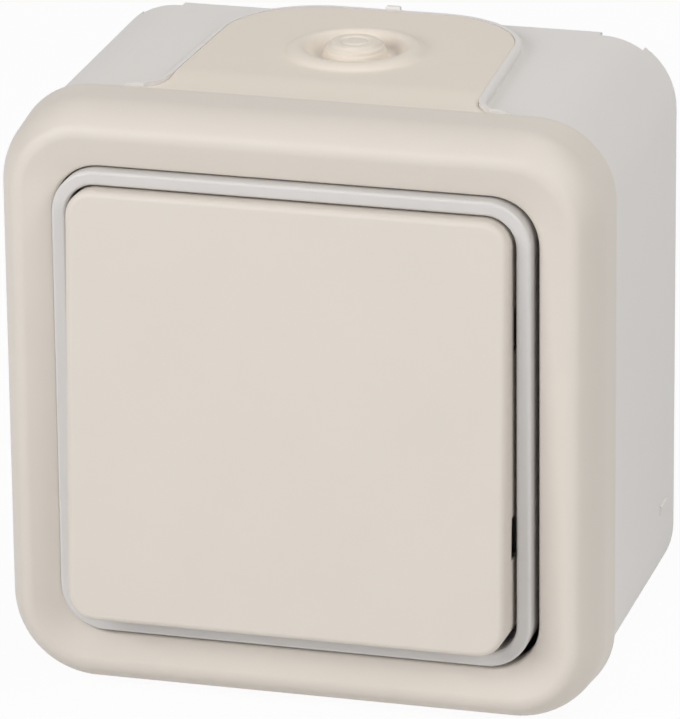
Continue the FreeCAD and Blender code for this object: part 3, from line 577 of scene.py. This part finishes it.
# %% [markdown]
# The photo is a catalogue picture: white all round, soft light, no hard shadow. Its light was found by
# fitting the brightness of thirty places on the switch, which gave five large softboxes: the strongest from
# the left a little above the switch, one from above the camera, one from the right, one from far round on the
# right, which lights the side of the box, and one from high behind, which lights its top. A white world could
# light everything evenly, but it would wash the soft forms out, so the world shows white to the camera and
# gives almost no light.

# %% World and softboxes
AIM = Vector((0, -30 * MM, 0))
SOFTBOX_DISTANCE, SOFTBOX_SIZE = 1.3, 0.6
WHITE, FILL = (1, 1, 1, 1), 0.02
softboxes = {"left": (-40, 25, 8.5), "above": (-10, 45, 3.1), "right": (50, 25, 3.6), "side": (80, 45, 4.2),
             "behind": (150, 60, 3.2)}


def ray_kinds(tree):
    """One for a ray from the camera, a mirror or glass, and zero for the light that falls on things."""
    path = tree.nodes.new("ShaderNodeLightPath").outputs
    kinds = ("Is Camera Ray", "Is Glossy Ray", "Is Transmission Ray")
    seen, mirrored, passed = (Value(tree, path[kind]) for kind in kinds)
    return seen + mirrored + passed


def arrow_to(azimuth, elevation):
    """Arrow of length one from the switch: the azimuth turns from the front to the right, in degrees."""
    across, height = math.radians(azimuth), math.radians(elevation)
    level_part = math.cos(height)
    return Vector((math.sin(across) * level_part, -math.cos(across) * level_part, math.sin(height)))


def softbox(name, azimuth, elevation, power):
    """A square area lamp that looks at the switch from an azimuth and an elevation."""
    arrow = arrow_to(azimuth, elevation)
    data = bpy.data.lights.new(name, "AREA")
    data.size = SOFTBOX_SIZE
    data.energy = power
    lamp = bpy.data.objects.new(name, data)
    bpy.context.scene.collection.objects.link(lamp)
    lamp.location = AIM + SOFTBOX_DISTANCE * arrow
    lamp.rotation_euler = arrow.to_track_quat("Z", "Y").to_euler()


def background(tree, strength):
    """A plain white background for the world."""
    node = tree.nodes.new("ShaderNodeBackground")
    node.inputs["Color"].default_value = WHITE
    node.inputs["Strength"].default_value = strength
    return node


def shown_and_lit(tree, shown, lit, share, output):
    """Mixes what the camera is shown with what lights the scene, by the kind of ray."""
    mix = tree.nodes.new("ShaderNodeMixShader")
    tree.links.new((share * ray_kinds(tree)).socket, mix.inputs[0])
    tree.links.new(lit.outputs[0], mix.inputs[1])
    tree.links.new(shown.outputs[0], mix.inputs[2])
    tree.links.new(mix.outputs[0], tree.nodes.new(output).inputs["Surface"])


for name, (azimuth, elevation, power) in softboxes.items():
    softbox(name, azimuth, elevation, power)
world = bpy.data.worlds.new("studio")
bpy.context.scene.world = world
world.use_nodes = True
sky = world.node_tree
sky.nodes.clear()
shown_and_lit(sky, background(sky, 1.0), background(sky, FILL), 1.0, "ShaderNodeOutputWorld")
print("softboxes:", len(softboxes), "fill:", FILL)

# %% [markdown]
# The floor is a large pale sheet just under the switch. Most of what the camera sees of it is plain white,
# and the rest is diffuse, so the soft shadow at the foot of the switch stays.

# %% Floor
FLOOR_REACH, FLOOR_GAP, FLOOR_WHITE, FLOOR_GREY = 4.0, 0.5 * MM, 0.95, (0.85, 0.85, 0.85, 1)
floor_z = cad_box[0].z - FLOOR_GAP
floor_corners = [(x * FLOOR_REACH, y * FLOOR_REACH, floor_z) for x, y in ((-1, -1), (1, -1), (1, 1), (-1, 1))]
floor_mesh = bpy.data.meshes.new("floor")
floor_mesh.from_pydata(floor_corners, [], [(0, 1, 2, 3)])
floor = bpy.data.objects.new("floor", floor_mesh)
bpy.context.scene.collection.objects.link(floor)
paper = bpy.data.materials.new("floor_paper")
paper.use_nodes = True
paper.node_tree.nodes.clear()
pale = paper.node_tree.nodes.new("ShaderNodeBsdfDiffuse")
pale.inputs["Color"].default_value = FLOOR_GREY
glow = paper.node_tree.nodes.new("ShaderNodeEmission")
shown_and_lit(paper.node_tree, glow, pale, FLOOR_WHITE, "ShaderNodeOutputMaterial")
floor_mesh.materials.append(paper)
print("floor at mm:", round(floor_z / MM, 2))

# %% [markdown]
# The camera stands where the photo was taken from. Its direction, roll, distance and focal length were fitted
# to corners of the cover, the mouth, the rocker and the box in the photo: from the right, from above, and far
# enough away that the box hardly narrows towards the wall.

# %% Camera
azimuth, elevation, roll = 15.557, 20.067, math.radians(-0.607)
focal_px, image_height_px, sensor_width = 6710.157, 719, 36.0
distance, shift_right, shift_up = 863.39 * MM, 7.059 * MM, 8.486 * MM
nearest, farthest = 0.05, 20.0
back = arrow_to(azimuth, elevation)
sideways = arrow_to(azimuth + 90, 0)
upright = back.cross(sideways)
right = math.cos(roll) * sideways + math.sin(roll) * upright
up = math.cos(roll) * upright - math.sin(roll) * sideways
camera_data = bpy.data.cameras.new("camera")
camera_data.sensor_width = sensor_width
camera_data.lens = focal_px * sensor_width / image_height_px
camera_data.clip_start, camera_data.clip_end = nearest, farthest
camera = bpy.data.objects.new("camera", camera_data)
bpy.context.scene.collection.objects.link(camera)
camera.matrix_world = (Matrix.Translation(distance * back - shift_right * right - shift_up * up)
                       @ Matrix((right, up, back)).transposed().to_4x4())
bpy.context.scene.camera = camera
bpy.context.scene.view_settings.view_transform = "Standard"
print("camera at m:", [round(c, 3) for c in camera.location], "lens:", round(camera_data.lens, 1))
